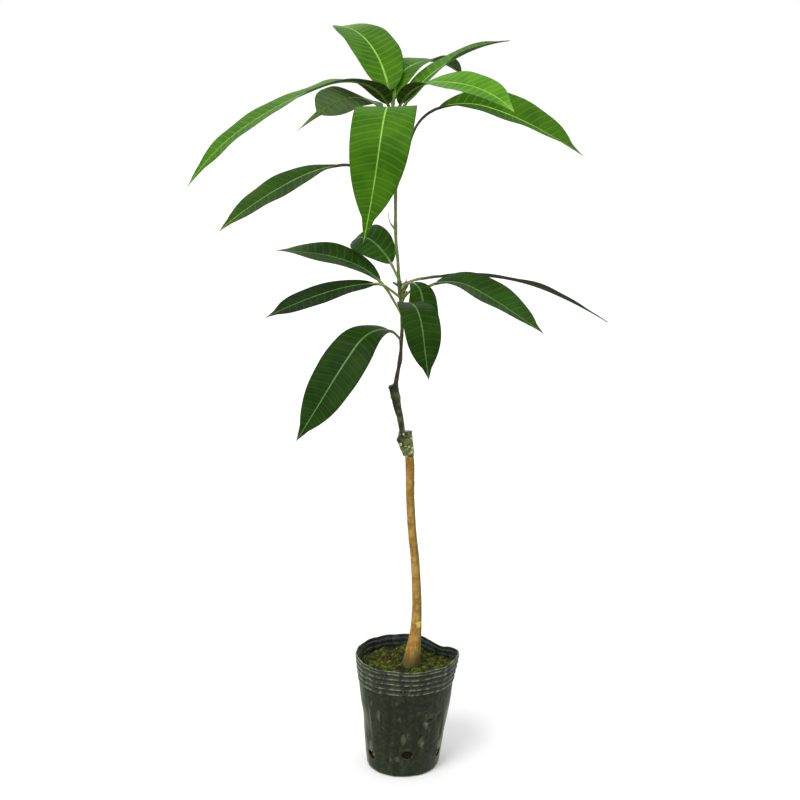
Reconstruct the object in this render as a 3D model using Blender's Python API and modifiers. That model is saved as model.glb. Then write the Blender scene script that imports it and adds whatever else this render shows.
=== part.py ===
"""A grafted mango sapling in a soft nursery pot, for Blender 4.5.

Metres, +Z up. The origin is the centre of the pot's flat underside. +X is to the right of someone
who faces the plant and +Y points away from them. The sizes below are in millimetres and degrees.
"""

import math
from typing import NamedTuple

import bmesh
import bpy
import numpy as np
from mathutils import Matrix, Vector

MM = 0.001
GAP = 0.3  # left between neighbouring pieces
WELD = 1e-6  # metres

# Pot
POT_HEIGHT = 140.0
POT_TOP_RADIUS = 60.0
POT_BASE_RADIUS = 43.5
POT_WALL = 1.2
POT_FLOOR = 1.6
POT_CORNER = 2.5
POT_LEAN = 4.0  # how far the rim's centre stands to the right of the base's
POT_STEPS = 48
POT_RING_PITCH = 16.0
RIB_COUNT = 5
RIB_PITCH = 6.4
RIB_DEPTH = 0.9
HOLE_COUNT = 6
HOLE_RADIUS = 6.2
HOLE_HEIGHTS = (30.0, 21.0)  # of every other hole
HOLE_AZIMUTH = 275.0

# Soil, filled to below the rim
SOIL_HEIGHT = 125.5
SOIL_RINGS = 6
SOIL_BUMP = 1.6
SEAT_RADIUS = 12.5

# Woody pieces, from the foot up: x, height and diameter at each station
GROUND = 127.0
ROOTSTOCK = (
    (8.8, 122, 24), (10.6, 132, 19.6), (12.6, 146, 17.6), (14.9, 162, 14.2), (16.3, 184, 12.2),
    (16.5, 212, 11.0), (14.4, 256, 10.2), (10.8, 294, 9.9), (8.6, 334, 9.8), (8.2, 372, 10.4),
    (7.4, 386, 9.8), (7.0, 394, 9.4), (5.6, 414, 8.4),
)
SCION = (
    (-0.2, 399, 4.4), (-0.7, 408, 6.6), (-0.9, 414, 6.8), (-2.2, 424, 7.2), (-3.9, 433, 7.8),
    (-5.9, 441, 9.0), (-7.5, 449, 9.8), (-8.6, 456, 11.2), (-10.0, 462, 11.0), (-11.1, 471.5, 11.8),
)
SHOOT_LOWER = (
    (-9.4, 464, 5.2), (-8.0, 472, 5.4), (-6.6, 481, 5.0), (-5.0, 489, 4.2), (-3.4, 498, 5.4),
    (-2.3, 510, 3.8), (-2.0, 521, 4.6), (-1.1, 533, 4.0), (-1.0, 549, 4.6), (-1.5, 562, 4.6),
    (-3.2, 575, 5.0), (-4.2, 589, 5.4),
)
SHOOT_UPPER = (
    (-4.0, 585, 4.6), (-5.1, 598, 3.7), (-5.8, 612, 3.5), (-7.2, 624, 4.0), (-8.0, 636, 3.5),
    (-8.4, 650, 4.2), (-8.4, 665, 3.5), (-8.4, 691, 4.2), (-9.2, 715, 3.6), (-10.0, 737, 3.7),
    (-11.0, 762, 4.4), (-11.2, 774, 4.0), (-11.0, 784, 1.2),
)
# A stub on each shoot where a petiole fell, and the side bud: x and height of both ends, diameters
LOWER_STUB = ((-4.0, 583), (-12.0, 588), 3.4, 2.4)
SIDE_BUD = ((-2.0, 571), (4.4, 592), 4.6, 1.4)
UPPER_STUB = ((-8.4, 646), (-15.5, 656), 2.6, 1.4)

# Grafting tape: height, centre, half width and half depth at each station
WRAP = (
    (385.0, 7.6, 6.3, 6.3), (391.5, 5.3, 7.0, 6.2), (397.5, 3.7, 8.3, 6.3), (403.5, 2.2, 9.1, 6.3),
    (408.5, 2.5, 8.3, 6.1), (412.3, 3.0, 7.6, 5.7),
)
WRAP_SIDES = 20

# Leaves
BLADE_ROWS = 14
BLADE_COLUMNS = 2
BLADE_THICKNESS = 1 / 90  # of the blade's length
BASE_HALF_WIDTH = 1.6
TIP_HALF_WIDTH = 0.5
WIDEST = 0.45  # of the blade's length, from its base
PETIOLE_RADII = (1.7, 1.2, 1.4)  # at the joint, along the stalk and at the blade's base
MIDRIB_END = 0.3  # of the blade, where the stalk has sunk into it
STRAIGHT_STALK = 0.6  # of the petiole, before it starts to bend
PATH_STEPS = 160
STALK_START = 1.0  # out from the stem's axis


class Leaf(NamedTuple):
    """One leaf. Azimuth 0 is +X and 90 is +Y; pitch is upwards."""

    name: str
    height: float  # of the joint on the stem
    petiole: float
    blade: float
    width: float
    azimuth: tuple  # at the joint, the blade's base, a third along it and its tip
    pitch: tuple  # of the petiole, then at the blade's base, both thirds and its tip
    sway: tuple  # sideways bend at the blade's base and tip
    roll: tuple  # turn about the midrib at the blade's base, middle and tip
    fold: float  # how far each half rises from flat
    drip: float = 0.05  # the thin tip's share of the blade
    opening: float = 0.7  # the lower it is, the blunter the blade's base


UPPER_LEAVES = (
    Leaf("leaf_upper_back_left", 780, 22, 160, 60, (116, 112, 118, 124), (60, 60, 38, 18, -4),
         (0, 0), (-10, -6, 0), 10, 0.05, 0.45),
    Leaf("leaf_upper_left", 771.8, 18, 272, 52, (250, 238, 192, 190), (44, 47, -20, -33, -56),
         (0, 0), (8, -6, -30), 6, 0.05, 0.45),
    Leaf("leaf_upper_back_low", 764, 25, 142, 56, (130, 132, 130, 165), (40, 31, -1, -29, -40),
         (0, 0), (10, 24, 60), 4, 0.22),
    Leaf("leaf_upper_front", 764, 25, 250, 63, (269, 269, 269, 269), (26, 11, 2, -85, -86),
         (0, -12), (0, 0, 0), 2, 0.06, 0.45),
    Leaf("leaf_upper_low_left", 693, 68, 155, 50, (185, 185, 200, 205), (30, -8, -25, -31, -38),
         (0, 0), (-14, -16, -12), 6),
    Leaf("leaf_upper_low_right", 691, 105, 172, 60, (0, -10, -15, -15), (73, 18, -17, -27, -32),
         (0, 0), (22, 26, 6), 18),
    Leaf("leaf_upper_front_right", 767, 22, 178, 44, (306, 306, 326, 300), (52, 48, 1, -15, -30),
         (0, 0), (-5, 22, 20), 10, 0.05, 0.5),
    Leaf("leaf_upper_right", 761, 26, 144, 46, (14, 14, 17, 15), (60, 57, 36, 22, 6),
         (0, 0), (20, 0, 0), 12),
    Leaf("leaf_upper_back_right", 768, 22, 160, 48, (90, 81, 54, 40), (66, 64, 21, -4, -40),
         (0, 0), (8, 0, 0), 12),
)
LOWER_LEAVES = (
    Leaf("leaf_lower_back", 590, 21, 85, 41, (173, 159, 134, 113), (64, 60, 30, -6, -28),
         (0, 0), (-34, -46, -40), 0, 0.05, 0.5),
    Leaf("leaf_lower_left_high", 550, 45, 130, 46, (161, 161, 166, 171), (58, 42, 18, 5, 2),
         (0, 0), (-15, -20, -15), 12),
    Leaf("leaf_lower_left", 570, 33, 134, 43, (190, 195, 200, 205), (38, 2, -12, -18, -22),
         (0, 0), (-12, -18, -12), 3),
    Leaf("leaf_lower_front", 548, 33, 134, 41, (270, 282, 284, 276), (38, 21, -10, -85, -85),
         (0, 8), (0, 0, 0), 5),
    Leaf("leaf_lower_front_inner", 579, 19, 94, 33, (338, 319, 277, 268), (37, -6, -84, -88, -88),
         (0, 10), (8, 5, 0), 5, 0.05, 0.4),
    Leaf("leaf_lower_right", 544, 60, 142, 54, (345, 337, 333, 332), (56, 17, -23, -29, -29),
         (0, 0), (12, 12, 4), 15, 0.05, 0.4),
    Leaf("leaf_lower_right_long", 584, 25, 233, 50, (15, 12, 8, 5), (18, 8, -6, -24, -32),
         (0, 0), (-8, -8, -8), 5),
    Leaf("leaf_lower_hanging", 521, 18, 184, 51, (225, 230, 235, 235), (45, 25, -48, -62, -68),
         (-5, -25), (-15, -23, -15), 4),
)

# Colours, roughness
FINISHES = {
    "pot_film": ((0.030, 0.036, 0.022, 1), 0.35),
    "soil": ((0.080, 0.090, 0.020, 1), 0.95),
    "bark": ((0.400, 0.290, 0.110, 1), 0.80),
    "tape": ((0.180, 0.210, 0.070, 1), 0.25),
    "green_wood": ((0.090, 0.100, 0.035, 1), 0.60),
    "dark_wood": ((0.060, 0.038, 0.022, 1), 0.70),
    "young_stem": ((0.130, 0.230, 0.050, 1), 0.50),
    "young_leaf": ((0.065, 0.190, 0.020, 1), 0.42),
    "old_leaf": ((0.022, 0.072, 0.012, 1), 0.40),
}


def clear_scene():
    for scene_object in list(bpy.data.objects):
        bpy.data.objects.remove(scene_object, do_unlink=True)


def new_collection(name, hidden=False):
    collection = bpy.data.collections.new(name)
    collection.hide_render = hidden
    bpy.context.scene.collection.children.link(collection)
    return collection


def new_material(name, finish):
    color, roughness = FINISHES[finish]
    material = bpy.data.materials.new(name)
    material.use_nodes = True
    shader = material.node_tree.nodes["Principled BSDF"]
    shader.inputs["Base Color"].default_value = color
    shader.inputs["Roughness"].default_value = roughness
    shader.inputs["Metallic"].default_value = 0.0
    material.diffuse_color = color
    return material


def new_object(name, mesh, collection, finish=None):
    created = bpy.data.objects.new(name, mesh)
    collection.objects.link(created)
    if finish:
        mesh.materials.clear()
        mesh.materials.append(new_material(name, finish))
    else:
        created.hide_render = True
        created.display_type = "WIRE"
    return created


def mesh_of(bm, name):
    bmesh.ops.recalc_face_normals(bm, faces=bm.faces)
    mesh = bpy.data.meshes.new(name)
    bm.to_mesh(mesh)
    bm.free()
    return mesh


def apply_modifiers(target):
    graph = bpy.context.evaluated_depsgraph_get()
    mesh = bpy.data.meshes.new_from_object(target.evaluated_get(graph))
    target.modifiers.clear()
    target.data = mesh


def apply_boolean(target, operation, operand, solver="EXACT"):
    """Joins or cuts the target with one object or with every object of a collection."""
    boolean = target.modifiers.new(operation.lower(), "BOOLEAN")
    boolean.operation = operation
    boolean.solver = solver
    if isinstance(operand, bpy.types.Collection):
        boolean.operand_type = "COLLECTION"
        boolean.collection = operand
    else:
        boolean.object = operand
    apply_modifiers(target)


def smoothed(stations, between=2):
    """The stations with points added between them on a Catmull-Rom curve."""
    knots = np.array([stations[0], *stations, stations[-1]], float)
    points = []
    for before, start, end, after in zip(knots, knots[1:], knots[2:], knots[3:]):
        for t in np.arange(between) / between:
            points.append(
                start
                + (end - before) * t / 2
                + (2 * before - 5 * start + 4 * end - after) * t**2 / 2
                + (3 * start - before - 3 * end + after) * t**3 / 2
            )
    return np.array([*points, knots[-1]])


def tube_mesh(name, points, radii, resolution):
    """A closed round tube through points in millimetres, made as a bevelled curve."""
    curve = bpy.data.curves.new(name, "CURVE")
    curve.dimensions = "3D"
    curve.bevel_depth = MM
    curve.bevel_resolution = resolution
    curve.use_fill_caps = True
    spline = curve.splines.new("POLY")
    spline.points.add(len(points) - 1)
    for target, point, radius in zip(spline.points, points, radii):
        target.co = (*(Vector(point) * MM), 1)
        target.radius = radius
    holder = bpy.data.objects.new(name, curve)
    mesh = bpy.data.meshes.new_from_object(holder)
    bpy.data.objects.remove(holder)
    bpy.data.curves.remove(curve)
    bm = bmesh.new()
    bm.from_mesh(mesh)
    bmesh.ops.remove_doubles(bm, verts=bm.verts, dist=WELD)
    bpy.data.meshes.remove(mesh)
    return mesh_of(bm, name)


def stem_mesh(name, stations, grow=0.0, resolution=3):
    """A stem from its stations. grow widens it and carries both ends on, for use as a cutter."""
    x, z, diameter = smoothed(stations).T
    points = np.stack([x, np.zeros_like(x), z], axis=1)
    for end, inner in ((0, 1), (-1, -2)):
        outward = points[end] - points[inner]
        points[end] += outward / np.linalg.norm(outward) * grow
    return tube_mesh(name, points.tolist(), (diameter / 2 + grow).tolist(), resolution)


def tapered_mesh(name, start, end, first_diameter, last_diameter, grow=0.0):
    """A short stub or bud between two places in the plant's plane."""
    ends = np.array([(start[0], 0, start[1]), (end[0], 0, end[1])], float)
    along = (ends[1] - ends[0]) / np.linalg.norm(ends[1] - ends[0])
    places = [ends[0], ends.mean(axis=0), ends[1] + along * grow]
    diameters = (first_diameter, (first_diameter + last_diameter) / 2, last_diameter)
    return tube_mesh(name, places, [diameter / 2 + grow for diameter in diameters], 2)


# Pot and soil


def pot_radius(height):
    return POT_BASE_RADIUS + (POT_TOP_RADIUS - POT_BASE_RADIUS) * height / POT_HEIGHT


def bump(angle, height, at_angle, at_height, spread, tall):
    """1 at its centre, falling to nothing within about twice its spread and height."""
    turn = (angle - at_angle + 180) % 360 - 180
    return math.exp(-((turn / spread) ** 2) - ((height - at_height) / tall) ** 2)


def soften(co):
    """Moves a point of the straight pot to where the soft film stands: dents, rim fold and lean."""
    x, y, z = co / MM
    angle = math.degrees(math.atan2(y, x))
    radius = math.hypot(x, y)
    share = min(radius / POT_BASE_RADIUS, 1.0)
    push = 3.4 * bump(angle, z, 4, 140, 17, 24)  # the rim stands out on the right
    push -= 5.0 * bump(angle, z, 46, 140, 22, 34)  # and is pressed in and down behind that
    push += 1.7 * bump(angle, z, 0, 85, 38, 45)  # the right side bulges a little
    push -= 1.8 * bump(angle, z, 318, 78, 22, 14)  # crease at the front right
    push -= 1.6 * bump(angle, z, 186, 66, 24, 16)  # dent on the left
    drop = 5.5 * bump(angle, z, 42, 145, 24, 26) * share**3
    drop -= 2.4 * bump(angle, z, 178, 150, 62, 30) * share**3  # the rim is highest on the left
    scale = 1 + push * share / max(radius, POT_BASE_RADIUS)
    lean = POT_LEAN * z / POT_HEIGHT
    return Vector((x * scale + lean, y * scale, z - drop)) * MM


def turned(name, profile, collection, finish):
    """A profile of (radius, height) points turned once about Z."""
    mesh = bpy.data.meshes.new(name)
    edges = [(i, i + 1) for i in range(len(profile) - 1)]
    mesh.from_pydata([(r * MM, 0, z * MM) for r, z in profile], edges, [])
    body = new_object(name, mesh, collection, finish)
    screw = body.modifiers.new("turn", "SCREW")
    screw.steps = POT_STEPS
    screw.render_steps = POT_STEPS
    screw.use_merge_vertices = True
    screw.merge_threshold = WELD * 10
    apply_modifiers(body)
    return body


def ring_heights(top, bottom):
    count = math.ceil((top - bottom) / POT_RING_PITCH)
    return [top + (bottom - top) * i / count for i in range(count + 1)]


def make_pot(collection):
    ribs_end = POT_HEIGHT - RIB_COUNT * RIB_PITCH
    inner = [
        (pot_radius(z) - POT_WALL, z)
        for z in reversed(ring_heights(POT_HEIGHT, POT_FLOOR + POT_CORNER))
    ]
    ribs = []
    for rib in range(RIB_COUNT):
        top = POT_HEIGHT - rib * RIB_PITCH
        ribs.append((pot_radius(top), top))
        ribs.append((pot_radius(top) + RIB_DEPTH, top - RIB_PITCH / 2))
    outer = [(pot_radius(z), z) for z in ring_heights(ribs_end, POT_CORNER)]
    inner_floor = pot_radius(0) - POT_WALL - POT_CORNER
    profile = [(0, POT_FLOOR), (inner_floor, POT_FLOOR), *inner, *ribs, *outer]
    profile += [(pot_radius(0) - POT_CORNER, 0), (0, 0)]
    pot = turned("pot", profile, collection, "pot_film")
    bm = bmesh.new()
    for hole in range(HOLE_COUNT):
        turn = math.radians(HOLE_AZIMUTH + hole * 360 / HOLE_COUNT)
        height = HOLE_HEIGHTS[hole % 2]
        outward = Matrix.Rotation(turn, 4, "Z") @ Matrix.Translation(
            Vector((pot_radius(height), 0, height)) * MM
        )
        bmesh.ops.create_cone(
            bm, cap_ends=True, segments=16, radius1=HOLE_RADIUS * MM, radius2=HOLE_RADIUS * MM,
            depth=20 * MM, matrix=outward @ Matrix.Rotation(math.pi / 2, 4, "Y"),
        )
    punches = new_collection("pot_cutters", hidden=True)
    punch = new_object("drain_holes", mesh_of(bm, "drain_holes"), punches)
    apply_boolean(pot, "DIFFERENCE", punch)
    for vertex in pot.data.vertices:
        vertex.co = soften(vertex.co)


def make_soil(collection):
    """Root ball and moss: it fills the pot to below the rim and has a flat seat for the trunk."""

    def fill_radius(z):
        return pot_radius(z) - POT_WALL - 3 * GAP

    edge = fill_radius(SOIL_HEIGHT)
    top = [(edge * ring / SOIL_RINGS, SOIL_HEIGHT) for ring in range(SOIL_RINGS)]
    side = [(fill_radius(z), z) for z in ring_heights(SOIL_HEIGHT, POT_FLOOR + POT_CORNER)]
    bottom = POT_FLOOR + GAP
    soil_floor = pot_radius(0) - POT_WALL - POT_CORNER - 3 * GAP
    profile = [*top, *side, (soil_floor, bottom), (0, bottom)]
    soil = turned("soil", profile, collection, "soil")
    for vertex in soil.data.vertices:
        x, y, z = vertex.co / MM
        if z > SOIL_HEIGHT - 0.1:
            wave = math.sin(x / 7 + 1) * math.cos(y / 8) + 0.6 * math.sin(x / 3.5 - y / 4.5)
            vertex.co.z += SOIL_BUMP * MM * (wave + 0.4)
        vertex.co = soften(vertex.co)
    seat = new_collection("soil_cutters", hidden=True)
    bm = bmesh.new()
    bmesh.ops.create_cone(
        bm, cap_ends=True, segments=24, radius1=SEAT_RADIUS * MM, radius2=SEAT_RADIUS * MM,
        depth=40 * MM,
    )
    centre = np.interp(GROUND, [s[1] for s in ROOTSTOCK], [s[0] for s in ROOTSTOCK])
    bm.transform(Matrix.Translation(Vector((centre, 0, GROUND - GAP + 20)) * MM))
    new_object("trunk_seat", mesh_of(bm, "trunk_seat"), seat)
    apply_boolean(soil, "DIFFERENCE", seat)


# Woody pieces


def make_rootstock(collection):
    """The trunk, from its flat cut at the soil through the flare to the stub above the graft."""
    trunk = new_object("rootstock", stem_mesh("rootstock", ROOTSTOCK), collection, "bark")
    bm = bmesh.new()
    bm.from_mesh(trunk.data)
    cut = bmesh.ops.bisect_plane(
        bm, geom=[*bm.verts, *bm.edges, *bm.faces], plane_co=(0, 0, GROUND * MM),
        plane_no=(0, 0, 1), clear_inner=True,
    )
    ring = [item for item in cut["geom_cut"] if isinstance(item, bmesh.types.BMEdge)]
    bmesh.ops.contextual_create(bm, geom=ring)
    bmesh.ops.recalc_face_normals(bm, faces=bm.faces)
    bm.to_mesh(trunk.data)
    bm.free()


def add_cutters(name, stations, extras, collection):
    """Adds the stem, its stubs and its buds, all grown by the gap, to a collection of cutters."""
    new_object(f"{name}_cutter", stem_mesh(name, stations, grow=GAP), collection)
    for number, extra in enumerate(extras):
        mesh = tapered_mesh(name, *extra, grow=GAP)
        new_object(f"{name}_cutter_{number}", mesh, collection)


def make_stem(name, stations, below, extras, collection, finish):
    """A stem trimmed clear of the piece that it grows from, with its stubs and buds fused on."""
    stem = new_object(name, stem_mesh(name, stations), collection, finish)
    if extras:
        parts = new_collection(f"{name}_extras", hidden=True)
        for number, extra in enumerate(extras):
            new_object(f"{name}_extra_{number}", tapered_mesh(name, *extra), parts)
        apply_boolean(stem, "UNION", parts)
        discard(parts)
    apply_boolean(stem, "DIFFERENCE", below)


def discard(collection):
    for member in list(collection.objects):
        bpy.data.objects.remove(member, do_unlink=True)
    bpy.data.collections.remove(collection)


def make_wrap(rootstock, scion, collection):
    """The sleeve of grafting tape round the stub and the scion's foot."""
    height, centre, half_width, half_depth = np.array(WRAP, float).T
    bm = bmesh.new()
    bmesh.ops.create_cone(
        bm, cap_ends=True, segments=WRAP_SIDES, radius1=1, radius2=1, depth=height[-1] - height[0]
    )
    bmesh.ops.translate(bm, verts=bm.verts, vec=(0, 0, (height[-1] + height[0]) / 2))
    for station in height[1:-1]:
        everything = [*bm.verts, *bm.edges, *bm.faces]
        bmesh.ops.bisect_plane(bm, geom=everything, plane_co=(0, 0, station), plane_no=(0, 0, 1))
    for vertex in bm.verts:
        x, y, z = vertex.co
        wide, deep = np.interp(z, height, half_width), np.interp(z, height, half_depth)
        middle = np.interp(z, height, centre)
        vertex.co = Vector((middle + x * wide, y * deep, z)) * MM
    wrap = new_object("graft_wrap", mesh_of(bm, "graft_wrap"), collection, "tape")
    apply_boolean(wrap, "DIFFERENCE", rootstock)
    apply_boolean(wrap, "DIFFERENCE", scion)


# Leaves


def stem_centre(height):
    """The x of the shoots' axis at a height."""
    stations = [*SHOOT_LOWER[:-1], *SHOOT_UPPER[1:]]
    return np.interp(height, [s[1] for s in stations], [s[0] for s in stations])


def half_width(leaf, t):
    """Half of the blade's width at a share t of its length: lance-shaped, with a thin drip tip."""
    opening = np.sin(np.pi / 2 * np.minimum(t / WIDEST, 1)) ** leaf.opening
    closing = 1 - np.clip((t - WIDEST) / (1 - leaf.drip - WIDEST), 0, 1) ** 3
    least = BASE_HALF_WIDTH + (TIP_HALF_WIDTH - BASE_HALF_WIDTH) * t
    return np.maximum(opening * closing * leaf.width / 2, least)


def leaf_frames(leaf):
    """Places along the leaf's axis, and the side and up directions there, from joint to tip."""
    length = leaf.petiole + leaf.blade
    s = np.linspace(0, length, PATH_STEPS + 1)
    third = leaf.petiole + leaf.blade / 3
    two_thirds = leaf.petiole + 2 * leaf.blade / 3
    bend = leaf.petiole * STRAIGHT_STALK
    azimuth = np.radians(np.interp(s, (0, leaf.petiole, third, length), leaf.azimuth))
    pitch = np.radians(np.interp(s, (bend, leaf.petiole, third, two_thirds, length), leaf.pitch))
    sway = np.radians(np.interp(s, (leaf.petiole, length), leaf.sway))[:, None]
    middle = leaf.petiole + leaf.blade / 2
    roll = np.radians(np.interp(s, (leaf.petiole, middle, length), leaf.roll))[:, None]
    level = np.cos(pitch)
    ahead = np.stack([level * np.cos(azimuth), level * np.sin(azimuth), np.sin(pitch)], axis=1)
    left = np.stack([-np.sin(azimuth), np.cos(azimuth), np.zeros_like(s)], axis=1)
    along = ahead * np.cos(sway) + left * np.sin(sway)
    side = left * np.cos(sway) - ahead * np.sin(sway)
    up = np.cross(along, side)
    side, up = side * np.cos(roll) + up * np.sin(roll), up * np.cos(roll) - side * np.sin(roll)
    steps = (along[1:] + along[:-1]) / 2 * (length / PATH_STEPS)
    axis = np.vstack([np.zeros(3), np.cumsum(steps, axis=0)])
    return s, axis + (stem_centre(leaf.height), 0, leaf.height), side, up


def at(s, stations, values):
    return np.array([np.interp(s, stations, column) for column in values.T])


def blade_mesh(leaf):
    """A grid bent to the leaf's surface, in metres."""
    stations, axis, side, up = leaf_frames(leaf)
    fold = math.radians(leaf.fold)
    bm = bmesh.new()
    bmesh.ops.create_grid(bm, x_segments=BLADE_ROWS, y_segments=BLADE_COLUMNS, size=1)
    for vertex in bm.verts:
        t, across = min((vertex.co.x + 1) / 2, 1.0), vertex.co.y
        s = leaf.petiole + t * leaf.blade
        reach = half_width(leaf, t) * across
        point = at(s, stations, axis) + reach * math.cos(fold) * at(s, stations, side)
        point += abs(reach) * math.sin(fold) * at(s, stations, up)
        vertex.co = Vector(point) * MM
    return mesh_of(bm, leaf.name)


def stalk_mesh(leaf):
    """The petiole, thicker at its joint, carried on as the midrib until it sinks in the blade."""
    stations, axis, side, up = leaf_frames(leaf)
    end = leaf.petiole + MIDRIB_END * leaf.blade
    stops = [STALK_START, leaf.petiole * 0.2, leaf.petiole * STRAIGHT_STALK, leaf.petiole * 0.8]
    stops += [leaf.petiole, leaf.petiole + (end - leaf.petiole) / 2, end]
    joint, stalk, base = PETIOLE_RADII
    radii = [joint, joint, stalk, stalk, base, 1.0, 0.6]
    return tube_mesh(leaf.name, [at(s, stations, axis) for s in stops], radii, 1)


def make_leaf(leaf, shoots, collection, finish):
    blade = new_object(leaf.name, blade_mesh(leaf), collection, finish)
    solidify = blade.modifiers.new("thickness", "SOLIDIFY")
    solidify.thickness = leaf.blade * BLADE_THICKNESS * MM
    solidify.offset = 0
    apply_modifiers(blade)
    stalk = new_collection(f"{leaf.name}_stalk", hidden=True)
    new_object(f"{leaf.name}_stalk", stalk_mesh(leaf), stalk)
    apply_boolean(blade, "UNION", stalk)
    discard(stalk)
    apply_boolean(blade, "DIFFERENCE", shoots)


def main():
    clear_scene()
    sapling = new_collection("mango_sapling")
    make_pot(sapling)
    make_soil(sapling)
    make_rootstock(sapling)
    rootstock = new_collection("rootstock_cutters", hidden=True)
    scion = new_collection("scion_cutters", hidden=True)
    shoots = new_collection("shoot_cutters", hidden=True)
    lower_extras = (LOWER_STUB, SIDE_BUD)
    upper_extras = (UPPER_STUB,)
    add_cutters("rootstock", ROOTSTOCK, (), rootstock)
    make_stem("scion", SCION, rootstock, (), sapling, "green_wood")
    add_cutters("scion", SCION, (), scion)
    make_wrap(rootstock, scion, sapling)
    make_stem("shoot_lower", SHOOT_LOWER, scion, lower_extras, sapling, "dark_wood")
    add_cutters("shoot_lower", SHOOT_LOWER, lower_extras, shoots)
    make_stem("shoot_upper", SHOOT_UPPER, shoots, upper_extras, sapling, "young_stem")
    add_cutters("shoot_upper", SHOOT_UPPER, upper_extras, shoots)
    for leaf in UPPER_LEAVES:
        make_leaf(leaf, shoots, sapling, "young_leaf")
    for leaf in LOWER_LEAVES:
        make_leaf(leaf, shoots, sapling, "old_leaf")


main()
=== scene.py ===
"""Looks of the grafted mango sapling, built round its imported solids.

Metres, +Z up; sizes below are in millimetres and degrees, and colours are linear RGB. The leaves
and stems grow by the same rules as the solids that they stand for, with finer shapes.
"""

import math
from typing import NamedTuple

import bmesh
import bpy
import numpy as np
from mathutils import Matrix, Vector, noise


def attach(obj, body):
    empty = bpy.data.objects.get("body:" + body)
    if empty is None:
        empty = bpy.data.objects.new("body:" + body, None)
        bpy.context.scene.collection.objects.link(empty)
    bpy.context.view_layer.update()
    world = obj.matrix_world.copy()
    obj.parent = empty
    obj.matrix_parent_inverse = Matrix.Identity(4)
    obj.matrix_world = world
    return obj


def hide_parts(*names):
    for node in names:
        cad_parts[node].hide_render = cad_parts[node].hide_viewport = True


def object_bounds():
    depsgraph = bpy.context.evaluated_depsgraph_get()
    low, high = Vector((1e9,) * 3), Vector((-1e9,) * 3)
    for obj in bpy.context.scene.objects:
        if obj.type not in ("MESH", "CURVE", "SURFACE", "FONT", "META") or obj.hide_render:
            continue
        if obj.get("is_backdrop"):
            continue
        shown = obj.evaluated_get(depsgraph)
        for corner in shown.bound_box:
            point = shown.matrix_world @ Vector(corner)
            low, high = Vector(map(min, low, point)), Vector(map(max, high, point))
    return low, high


MM = 0.001
RNG = np.random.default_rng(11)

# Camera
CAMERA_PLACE = (-0.0034, -1.57, 0.81)
CAMERA_DIP = 12.87
CAMERA_LENS = 63.0

# Light
FLOOR_REACH = 60.0
FLOOR_DROP = 0.0005
LIGHT_ABOVE = 1.0
LIGHT_BELOW = 0.3
LIGHT_TURN = (-0.25, -0.02)  # the heights on the sky between which it goes from one to the other
KEY_POWER = 1.5
KEY_SPREAD = 28.0
KEY_FROM = (-0.5, -0.75, 1.2)

# Pot
POT_HEIGHT = 140.0
POT_TOP_RADIUS = 60.0
POT_BASE_RADIUS = 43.5
POT_LEAN = 4.0
POT_WALL = 1.2
RIM_WALL = 0.9
POT_FLOOR = 1.6
POT_CORNER = 2.5
POT_STEPS = 192
RIB_COUNT = 5
RIB_PITCH = 6.4
RIB_DEPTH = 0.9
RIB_ROW = 0.8
INNER_RIB = 0.8  # share of the depth that a rib has inside
RIB_HIGHLIGHT_FROM = 0.8  # share of a rib's height from which its crest is painted pale: painted highlight
HOLE_COUNT = 6
HOLE_RADIUS = 6.2
HOLE_HEIGHTS = (30.0, 21.0)  # of every other hole
HOLE_AZIMUTH = 275.0
# the second material is painted highlight on the rib crests and the rim
FILM, RIB_HIGHLIGHT, INSIDE = range(3)  # the pot's materials
HOLES = [(HOLE_AZIMUTH + i * 360 / HOLE_COUNT, HOLE_HEIGHTS[i % 2]) for i in range(HOLE_COUNT)]
LIP_GAP = 0.9  # from a drain hole's edge to the crest of its lip
LIP_WIDTH = 1.3
LIP_HEIGHT = 1.5
LIP_SIDE = 125.0  # the side of the hole where it is highest, 0 being the right and 90 the top
PUSHES = (  # of the soft wall: azimuth, height, half width in degrees, half height, outward push
    (4, 140, 17, 24, 3.4), (46, 140, 22, 34, -5.0), (0, 85, 38, 45, 1.7), (318, 78, 22, 14, -1.8),
    (186, 66, 24, 16, -1.6),
)
SAGS = (  # of the rim: azimuth, height, half width in degrees, half height, fall
    (42, 145, 24, 26, 5.5), (178, 150, 62, 30, -2.4),
)
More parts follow.
